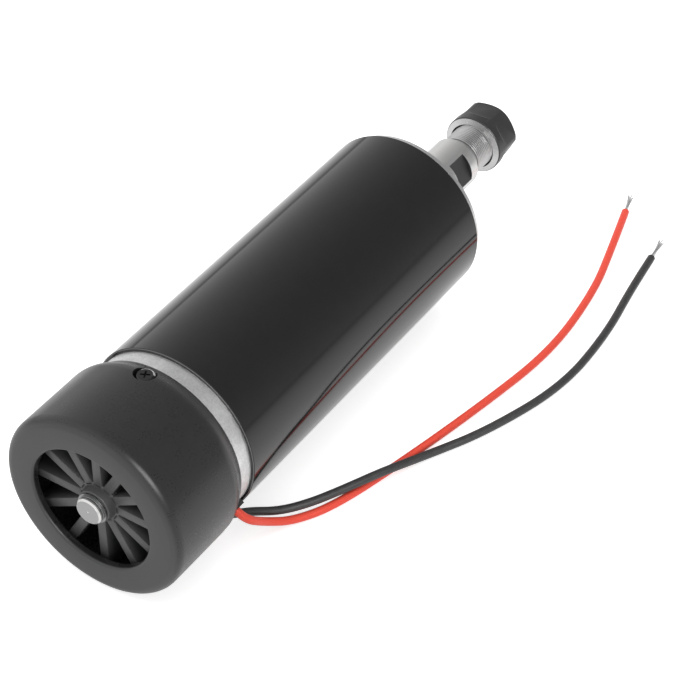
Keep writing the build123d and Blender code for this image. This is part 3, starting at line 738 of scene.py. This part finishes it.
@dataclass
class FanCover:
    """Moulded cover with its falling front shoulder and countersunk screw seats."""

    rear: float = -149.8
    front: float = -119.5
    outer: float = 28.0
    band: float = 25.0
    lip: float = 0.6
    taper: float = 4.7
    seat: float = 9.0
    inner: float = 26.0
    end_wall: float = 2.2
    inlet: float = 18.6
    screw_station: float = -124.2
    screw_angles: tuple[float, ...] = (90.0, 210.0, 330.0)
    recess_r: float = 3.15
    shank_r: float = 1.65
    hole: Pair = (22.0, 31.0)
    seat_r: float = 25.7
    notch: Point = (10.6, 8.6, 8.0)
    notch_place: Pair = (-114.9, 26.5)
    notch_angle: float = 217.0
    facets: int = 144
    crease: float = 24.0

    def tools(self) -> list[Shape]:
        """Make the shapes that are cut out of the cover.

        Returns:
            The screw seats and the notch for the leads.
        """
        low, high = self.hole
        seats = []
        for angle in self.screw_angles:
            step = turned([(low, 0.0), (low, self.shank_r), (self.seat_r, self.shank_r),
                           (self.seat_r, self.recess_r), (high, self.recess_r), (high, 0.0)], steps=SCREW_STEPS)
            seats.append(radial(step, self.screw_station, angle))
        x, r = self.notch_place
        return [*seats, block(self.notch, (x, 0.0, r), self.notch_angle - 90.0)]

    def build(self) -> list[Piece]:
        """Make the cover in place of the plain one.

        Returns:
            The cover.
        """
        wall, step = self.rear + self.end_wall, self.front - self.seat
        outline = [(self.rear, self.inlet), (self.rear, self.outer), (self.front - self.taper, self.outer),
                   (self.front, self.band + self.lip), (self.front, self.band), (step, self.band),
                   (step, self.inner), (wall, self.inner), (wall, self.inlet)]
        shape = turned(outline, COVER_ROUNDS, self.facets, segments=7)
        mesh = smoothed(carved(shape, self.tools(), "vented_cover"), self.crease)
        piece = link("vented_cover", mesh, "stator", COVER_MOULDING)
        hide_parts("fan_cover")
        return [piece]


@dataclass
class CoverScrews:
    """Three pan-head screws with cross recesses."""

    cover: FanCover = field(default_factory=FanCover)
    head_r: float = 2.8
    head_h: float = 1.6
    crown: Pair = (0.25, 0.7)
    shank_r: float = 1.5
    foot: float = 19.5
    cross: Point = (1.6, 0.5, 2.6)
    cross_turn: float = 27.0
    # Where the painted highlight lies on each head: its band of radii, its least height above the seat, and its lean
    # towards the front.
    rubbed_and_highlight: Pair = (2.05, 2.78)
    highlight_height: float = 0.9
    highlight_side: float = 0.4
    crease: float = 35.0

    def in_painted_highlight(self, point: Vector) -> bool:
        """Whether a point lies in the painted highlight on the far side of a head's rounded edge.

        Args:
            point: Its place in metres.

        Returns:
            True where the highlight is painted.
        """
        inner, outer = self.rubbed_and_highlight
        for angle in self.cover.screw_angles:
            out = Vector((0.0, math.cos(math.radians(angle)), math.sin(math.radians(angle))))
            seen = point / MM - Vector((self.cover.screw_station, 0.0, 0.0))
            height = seen.dot(out)
            away = (seen - out * height).length
            raised = height > self.cover.seat_r + self.highlight_height
            if raised and inner < away < outer and seen.x > self.highlight_side * away:
                return True
        return False

    def screw(self, angle: float) -> Shape:
        """One screw, placed.

        Args:
            angle: Where it stands, in degrees from +Y towards +Z.

        Returns:
            The screw.
        """
        seat = self.cover.seat_r
        top = seat + self.head_h
        fall, reach = self.crown
        outline = [(self.foot, 0.0), (self.foot, self.shank_r), (seat, self.shank_r), (seat, self.head_r),
                   (top - fall, self.head_r), (top, self.head_r - reach), (top, 0.0)]
        body = turned(outline, SCREW_ROUNDS, steps=SCREW_STEPS, segments=5)
        deep, narrow, wide = self.cross
        cross = [block((deep, *sides), (top, 0.0, 0.0)) for sides in ((narrow, wide), (wide, narrow))]
        mesh = carved(body, cross, "screw")
        bm = bmesh.new()
        bm.from_mesh(mesh)
        bpy.data.meshes.remove(mesh)
        return radial(about_axis(bm, self.cross_turn + angle), self.cover.screw_station, angle)

    def build(self) -> list[Piece]:
        """Make the three screws.

        Returns:
            The piece that holds them.
        """
        screws = [self.screw(angle) for angle in self.cover.screw_angles]
        mesh = smoothed(gather(screws, "cover_screw_set"), self.crease)
        piece = link("cover_screw_set", mesh, "stator", SCREW_STEEL)
        # The far side of each head's rounded edge gets the bright steel: a painted highlight.
        SHOP.add(piece, SCREW_HIGHLIGHT)
        for face in mesh.polygons:
            face.material_index = int(self.in_painted_highlight(face.center))
        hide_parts("cover_screws")
        return [piece]


@dataclass
class CoolingFan:
    """Radial fan: a stepped hub with straight blades and a web behind them."""

    boss: float = -148.3
    rear: float = -146.0
    depth: float = 12.0
    hub_front: float = -131.3
    bore: float = 4.0
    boss_r: float = 4.9
    boss_foot: float = 0.4
    hub_r: float = 6.3
    hub_draft: float = 0.6
    root: float = 1.0
    tip_r: float = 24.0
    blade: float = 2.8
    count: int = 12
    web_r: float = 12.3
    web: float = 1.2
    soft: float = 0.3
    hub_soft: float = 0.4
    facets: int = 72

    def blades(self) -> list[Shape]:
        """Make the blades, each with softened edges.

        Returns:
            The blades.
        """
        made = []
        root = self.hub_r - self.root
        middle = (self.rear + self.depth / 2, 0.0, (self.tip_r + root) / 2)
        for number in range(self.count):
            shape = block((self.depth, self.blade, self.tip_r - root), middle, 360.0 / self.count * number)
            rounded(shape, shape.edges[:], self.soft, 2, "EDGES")
            made.append(shape)
        return made

    def build(self) -> list[Piece]:
        """Make the fan.

        Returns:
            The fan.
        """
        front = self.rear + self.depth
        back, root = front - self.web, self.hub_r - self.root
        hub = turned([(self.boss, self.bore), (self.boss, self.boss_r), (self.rear, self.boss_r + self.boss_foot),
                      (self.rear, self.hub_r), (self.hub_front, self.hub_r + self.hub_draft),
                      (self.hub_front, self.bore)], {1: self.hub_soft, 3: self.hub_soft}, self.facets)
        web = turned([(back, root), (back, self.web_r), (front, self.web_r), (front, root)],
                     {1: self.soft, 2: self.soft}, self.facets)
        mesh = smoothed(gather([hub, web, *self.blades()], "cooling_fan"))
        piece = link("cooling_fan", mesh, "rotor", FAN_MOULDING)
        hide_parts("fan")
        return [piece]


# ---------------- front end
@dataclass
class Shaft:
    """The spindle shaft with its nose thread, wrench flats and rear centre hole."""

    steps: tuple[Pair, ...] = ((-120.0, 4.0), (-120.0, 5.0), (-96.0, 5.0), (-96.0, 6.0),
                               (-18.0, 6.0), (-18.0, 7.5), (-3.5, 7.5), (-3.5, 8.0))
    rear: float = -150.64
    centre: Pair = (0.3, 0.4)
    stub_r: float = 4.0
    stub_edge: float = 0.45
    ring_groove: Triple = (-148.85, -148.35, 3.65)
    fine_grooves: tuple[float, ...] = (-149.35, -149.95)
    fine_groove: Pair = (0.12, 0.14)
    collar: float = 28.2
    collar_r: float = 8.0
    collar_edge: float = 0.4
    neck: float = 30.0
    neck_r: float = 6.5
    root_r: float = 6.52
    crest_r: float = 6.95
    pitch: float = 0.75
    ridge: Triple = (0.27, 0.42, 0.69)
    plain: Pair = (0.1, 0.4)
    nose: float = 44.0
    nose_edge: float = 0.35
    socket: tuple[Pair, ...] = ((44.0, 5.5), (31.0, 3.673), (31.0, 3.8), (23.0, 3.8), (21.0, 0.0))
    flat: Triple = (17.0, 24.3, 6.75)
    flat_turn: float = 155.0
    mill: Pair = (24.0, 6.0)
    crease: float = 30.0

    def thread(self) -> list[Pair]:
        """Draw the thread's ridges.

        Returns:
            Their stations and radii.
        """
        rise, top, foot = self.ridge
        before, after = self.plain
        points = []
        start = self.neck + before
        count = int((self.nose - after - start) / self.pitch)
        for turn in range(count):
            x = start + turn * self.pitch
            points += [(x, self.root_r), (x + rise, self.crest_r), (x + top, self.crest_r), (x + foot, self.root_r)]
        return points

    def outline(self) -> list[Pair]:
        """Draw the whole section, from the rear end round to the socket.

        Returns:
            Its stations and radii.
        """
        g0, g1, gr = self.ring_groove
        depth, mouth = self.centre
        half, bite = self.fine_groove
        points = [(self.rear + depth, 0.0), (self.rear, mouth), (self.rear, self.stub_r - self.stub_edge),
                  (self.rear + self.stub_edge, self.stub_r)]
        for x in reversed(self.fine_grooves):
            points += [(x - half, self.stub_r), (x, self.stub_r - bite), (x + half, self.stub_r)]
        points += [(g0, self.stub_r), (g0, gr), (g1, gr), (g1, self.stub_r), *self.steps]
        points += [(self.collar - self.collar_edge, self.collar_r), (self.collar, self.collar_r - self.collar_edge),
                   (self.collar, self.neck_r), (self.neck, self.neck_r), *self.thread()]
        points += [(self.nose - self.nose_edge, self.root_r), (self.nose, self.root_r - self.nose_edge)]
        return points + list(self.socket)

    def build(self) -> list[Piece]:
        """Make the shaft.

        Returns:
            The shaft.
        """
        x0, x1, depth = self.flat
        wide, high = self.mill
        middle = ((x0 + x1) / 2, 0.0, depth + high / 2)
        mills = [block((x1 - x0, wide, high), middle, self.flat_turn - 90.0 + turn) for turn in (0.0, 180.0)]
        mesh = smoothed(carved(turned(self.outline()), mills, "threaded_shaft"), self.crease)
        piece = link("threaded_shaft", mesh, "rotor", GROUND_STEEL)
        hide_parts("spindle_shaft")
        return [piece]


@dataclass
class ColletNut:
    """Hexagon nut whose flats run out in curves towards its round rear."""

    rear: float = 37.7
    front: float = 49.0
    outer: float = 9.5
    half_flats: float = 8.5
    run: float = 6.6
    runout: float = 5.0
    bore: float = 7.0
    relief: Pair = (7.5, 1.2)
    chamfer: float = 0.25
    rise: float = 0.35
    fall: Pair = (0.3, 0.65)
    front_edge: Pair = (0.9, 1.2)
    front_round: float = 0.4
    nose: float = 44.0
    head_r: float = 5.72
    play: float = 0.06
    cone: float = 1.5
    cone_end: float = 2.4
    ring: float = 0.75
    stations: tuple[float, ...] = (1.5, 1.15, 0.45, 0.25)
    turn: float = -3.0
    tool: Point = (8.0, 4.0, 1.0)
    tool_round: float = 0.79
    facets: int = 120
    crease: float = 28.0

    def flat_tool(self, angle: float) -> Shape:
        """Make the shape that one flat takes away, with its curved run-out.

        Args:
            angle: Where the flat lies, in degrees.

        Returns:
            The closed tool.
        """
        bm = bmesh.new()
        half, tall, beyond = self.tool
        h, x, end = self.half_flats, self.rear + self.run - self.runout, self.front + beyond
        section = ((end, h), (end, h + tall), (x, h + tall), (x, h))
        corners = [bm.verts.new((px * MM, -half * MM, pz * MM)) for px, pz in section]
        bm.faces.new(corners)
        rounded(bm, [corners[3]], self.runout * self.tool_round, 8, "VERTICES")
        swept = bmesh.ops.extrude_face_region(bm, geom=bm.faces[:])
        moved = [v for v in swept["geom"] if isinstance(v, bmesh.types.BMVert)]
        bmesh.ops.translate(bm, vec=(0, 2 * half * MM, 0), verts=moved)
        bmesh.ops.recalc_face_normals(bm, faces=bm.faces[:])
        return about_axis(bm, angle)

    def build(self) -> list[Piece]:
        """Make the nut.

        Returns:
            The nut.
        """
        relief_r, relief_len = self.relief
        rim, shoulder = self.fall
        edge, drop = self.front_edge
        head, ring = self.head_r + self.play, self.head_r - self.ring
        seat, ring_front, ring_rear, bore_end = (self.nose + station for station in self.stations)
        outline = [(self.rear - self.rise, relief_r), (self.rear + rim, self.outer - self.chamfer),
                   (self.rear + shoulder, self.outer), (self.front - edge, self.outer),
                   (self.front, self.outer - drop), (self.front, self.head_r - self.cone + self.play),
                   (self.nose + self.cone_end, head), (seat, head),
                   (ring_front, ring), (ring_rear, ring), (bore_end, self.bore),
                   (self.rear + relief_len, self.bore), (self.rear + relief_len, relief_r)]
        flats = [self.flat_tool(60.0 * side + self.turn) for side in range(6)]
        mesh = carved(turned(outline, {3: self.front_round}, self.facets), flats, "hexagon_nut")
        piece = link("hexagon_nut", smoothed(mesh, self.crease), "nut", BLACK_OXIDE)
        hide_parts("collet_nut")
        return [piece]


# ---------------- leads
@dataclass
class FreeLead:
    """One insulated lead with its bare, tinned end."""

    name: str
    finish: Finish
    slot: str
    route: tuple[Point, ...]
    length: float
    tip_length: float
    strands: int = 11
    diameter: float = 2.4
    strand_d: float = 0.3
    bundle_r: float = 0.42
    rings: Pair = (0.55, 0.95)
    stagger: float = 2.4
    twist: float = 1.6
    hidden: float = 0.6
    shortest: float = 0.93
    splay: float = 0.5
    least_splay: float = 0.35
    phases: Pair = (3.1, 1.7)
    stops: int = 7

    @staticmethod
    def wire(name: str, diameter: float, facets: int, lines: Iterable[Sequence[Vector | Point]]) -> bpy.types.Curve:
        """Make a curve of smooth lines that are as thick as a wire.

        Args:
            name: Its name.
            diameter: Its thickness in mm.
            facets: How finely it is rounded.
            lines: The control points of each line, in mm.

        Returns:
            The curve.
        """
        curve = bpy.data.curves.new(name, "CURVE")
        curve.dimensions = "3D"
        curve.bevel_depth = diameter * MM / 2
        curve.bevel_resolution = facets
        curve.use_fill_caps = True
        for points in lines:
            line = curve.splines.new("NURBS")
            line.points.add(len(points) - 1)
            for place, point in zip(line.points, points):
                place.co = (*(Vector(point) * MM), 1.0)
            line.order_u = 3
            line.use_endpoint_u = True
            line.resolution_u = 10
        return curve

    def strand(self, number: int) -> list[Vector]:
        """Draw one strand of the bare end, each a little different.

        Args:
            number: Which one; the first runs down the middle.

        Returns:
            Its points in mm.
        """
        tip = Vector(self.route[-1])
        ahead = (tip - Vector(self.route[-2])).normalized()
        side = Vector((0, 0, 1)).cross(ahead).normalized()
        up = ahead.cross(side)
        inner, outer = self.rings
        ring = 0.0 if number == 0 else self.bundle_r * (inner if number % 2 else outer)
        reach = self.tip_length * (self.shortest + (1 - self.shortest) * math.cos(self.phases[0] * number))
        spread = self.least_splay + (1 - self.least_splay) * math.sin(self.phases[1] * number) ** 2
        points = []
        for t in (stop / self.stops for stop in range(self.stops + 1)):
            turn = self.stagger * number + self.twist * t
            out = ring + self.splay * (t ** 3) * spread
            lift = min(out, self.diameter / 2 - self.strand_d / 2)
            place = tip + ahead * (reach * t - self.hidden * (1 - t))
            points.append(place + side * (out * math.cos(turn)) + up * (lift * math.sin(turn)))
        return points

    def build(self) -> list[Piece]:
        """Make the lead.

        Returns:
            The insulation, and the bare end with its strands spread a little.
        """
        covered = self.wire(self.name, self.diameter, 6, [self.route])
        strands = [self.strand(number) for number in range(self.strands)]
        tinned = self.wire(f"{self.name}_strands", self.strand_d, 3, strands)
        body = link(f"{self.name}_insulation", covered, "stator", self.finish)
        end = link(f"{self.name}_bare_end", tinned, "stator", TINNED)
        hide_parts(self.name)
        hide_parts(f"{self.name}_tip")
        return [body, end]


LEADS = (
    FreeLead("red_lead", RED_SILICONE, "red_silicone", (
        (-117.9, -22.068, -14.25), (-117.9, -24.943, -16.417), (-110.6, -26.4, -22.6), (-103.0, -29.8, -26.8),
        (-92.2, -35.9, -26.8), (-68.4, -41.9, -26.8), (-37.2, -48.3, -26.8), (-4.4, -53.5, -26.8),
        (26.4, -50.8, -26.8), (46.8, -45.6, -26.8), (66.3, -40.2, -26.8)), length=196.0, tip_length=8.1),
    FreeLead("black_lead", BLACK_SILICONE, "black_silicone", (
        (-117.9, -19.781, -17.285), (-115.3, -20.8, -18.5), (-110.9, -22.2, -20.7), (-104.6, -26.4, -23.6),
        (-97.0, -31.4, -24.1), (-87.0, -36.3, -24.1), (-76.0, -41.2, -24.1), (-61.7, -46.2, -26.8),
        (-44.1, -55.2, -26.8), (-15.9, -63.8, -26.8), (11.6, -63.3, -26.8), (34.3, -59.5, -26.8),
        (50.4, -57.7, -26.8)), length=181.4, tip_length=8.7),
)


# ---------------- studio
@dataclass
class Studio:
    """Camera, light, floor and background."""

    eye: Point = (-445.8, -273.3, 405.8)
    look: Point = (0.6263, 0.4170, -0.6587)
    right: Point = (0.5542, -0.8324, 0.0)
    lens: float = 118.3
    aim: Point = (-0.05, -0.02, 0.0)
    dark_side: Point = (0.609, -0.426, 0.669)
    bright: float = 1.28
    dip: float = 0.93
    ambient: float = 0.85
    softbox: float = 5.2
    side_share: float = 0.35
    strip_light: Point = (-0.3, -0.72, 0.62)
    strip_width: float = 0.95
    strip_level: float = 7.0
    strip_soft: float = 0.04
    floor_z: float = -28.0
    floor_middle: float = -0.05
    floor_near: float = 0.06
    floor_far: float = 0.7
    floor_bend: float = 0.6
    floor_white: float = 0.86
    floor_roughness: float = 0.9
    floor_dark: float = 0.03
    floor_glow: float = 0.66
    floor_mirrored: float = 0.4

    def camera(self) -> None:
        """Set the camera on the object."""
        data = bpy.data.cameras.new("camera")
        data.lens = self.lens
        data.sensor_width = 36.0
        data.clip_start, data.clip_end = 0.01, 50.0
        camera = bpy.data.objects.new("camera", data)
        look, right = Vector(self.look).normalized(), Vector(self.right).normalized()
        up = right.cross(look)
        turn = Matrix((right, up, -look)).transposed().to_4x4()
        camera.matrix_world = Matrix.Translation(Vector(self.eye) * MM) @ turn
        show(camera)
        bpy.context.scene.camera = camera

    def world(self) -> None:
        """A white background, a soft gradient in reflections and a plain level for the rest."""
        world = bpy.data.worlds.new("studio")
        world.use_nodes = True
        world.cycles.sampling_method = "NONE"
        bpy.context.scene.world = world
        w = Wiring(world.node_tree)
        w.tree.nodes.clear()
        path = w.node("ShaderNodeLightPath")
        ray = w.node("ShaderNodeTexCoord").outputs["Generated"]
        facing, strip = (w.node("ShaderNodeVectorMath", {0: ray, 1: way}, operation="DOT_PRODUCT").outputs["Value"]
                         for way in (Vector(self.dark_side), Vector(self.strip_light).normalized()))
        mirror = w.math("MULTIPLY_ADD", w.math("MAXIMUM", facing, 0.0), -self.dip, self.bright)
        lit = w.step(strip, self.strip_width, self.strip_soft)
        mirror = w.math("MULTIPLY_ADD", lit, self.strip_level, mirror)
        level = w.lerp(path.outputs["Is Glossy Ray"], self.ambient, mirror)
        seen = w.math("MAXIMUM", path.outputs["Is Camera Ray"], path.outputs["Is Transmission Ray"])
        back = w.node("ShaderNodeBackground", {"Strength": w.lerp(seen, level, 1.0)})
        w.node("ShaderNodeOutputWorld", {"Surface": back.outputs[0]})

    def lamp(self, name: str, place: Point, size: float, power: float) -> None:
        """One soft box that points at the spindle's middle.

        Args:
            name: Its name.
            place: Where it hangs, in metres.
            size: Edge length in metres.
            power: Watts.
        """
        data = bpy.data.lights.new(name, "AREA")
        data.size = size
        data.energy = power
        box = bpy.data.objects.new(name, data)
        box.location = place
        box.rotation_euler = (Vector(self.aim) - Vector(place)).to_track_quat("-Z", "Y").to_euler()
        box.visible_glossy = False
        show(box)

    def floor(self) -> None:
        """A pale floor that keeps the object's shadow."""
        bm = bmesh.new()
        place = Matrix.Translation((0, 0, self.floor_z * MM))
        bmesh.ops.create_grid(bm, x_segments=2, y_segments=2, size=3.0, matrix=place)
        mesh = to_mesh(bm, "floor")
        floor = bpy.data.objects.new("floor", mesh)
        show(floor)
        material = bpy.data.materials.new("floor_white")
        material.use_nodes = True
        w = Wiring(material.node_tree)
        shader = material.node_tree.nodes["Principled BSDF"]
        path = w.node("ShaderNodeLightPath")
        mirrored = path.outputs["Is Glossy Ray"]
        x, y, _ = w.axes()
        offsets = (w.math("SUBTRACT", x, self.floor_middle), y)
        away = w.math("SQRT", w.math("ADD", *(w.math("POWER", offset, 2.0) for offset in offsets)))
        span = self.floor_far - self.floor_near
        reach = w.math("DIVIDE", w.math("SUBTRACT", away, self.floor_near), span, clamp=True)
        fade = w.math("MULTIPLY", w.math("POWER", reach, self.floor_bend), mirrored)
        white = w.blend(fade, grey(self.floor_white), grey(self.floor_dark))
        seen = w.math("MAXIMUM", path.outputs["Is Camera Ray"], path.outputs["Is Transmission Ray"])
        glow = w.math("MULTIPLY", seen, self.floor_glow)
        sheen = w.math("MULTIPLY", mirrored, self.floor_mirrored)
        w.fill(shader, {"Base Color": white, "Roughness": self.floor_roughness, "Specular IOR Level": 0.0,
                        "Emission Color": grey(1.0), "Emission Strength": w.math("MAXIMUM", glow, sheen)})
        mesh.materials.append(material)

    def build(self) -> None:
        """Set the whole studio up."""
        self.camera()
        self.world()
        self.floor()
        self.lamp("softbox_over", (-0.15, 0.1, 1.0), 1.2, self.softbox)
        self.lamp("softbox_side", (-0.9, -0.8, 0.5), 0.8, self.softbox * self.side_share)
        bpy.context.scene.view_settings.view_transform = "Standard"


# ---------------- assembly
def main() -> None:
    """Build every sub-assembly in order and report the pieces."""
    logging.basicConfig(level=logging.INFO, format="%(name)s: %(message)s")
    Studio().build()
    LOG.info("dressed %d nodes", SHOP.dress_frame())
    for assembly in (*LEADS, FanCover(), CoverScrews(), CoolingFan(), Shaft(), ColletNut()):
        for piece in assembly.build():
            LOG.info("built %s", piece.name)


if __name__ == "__main__":
    main()
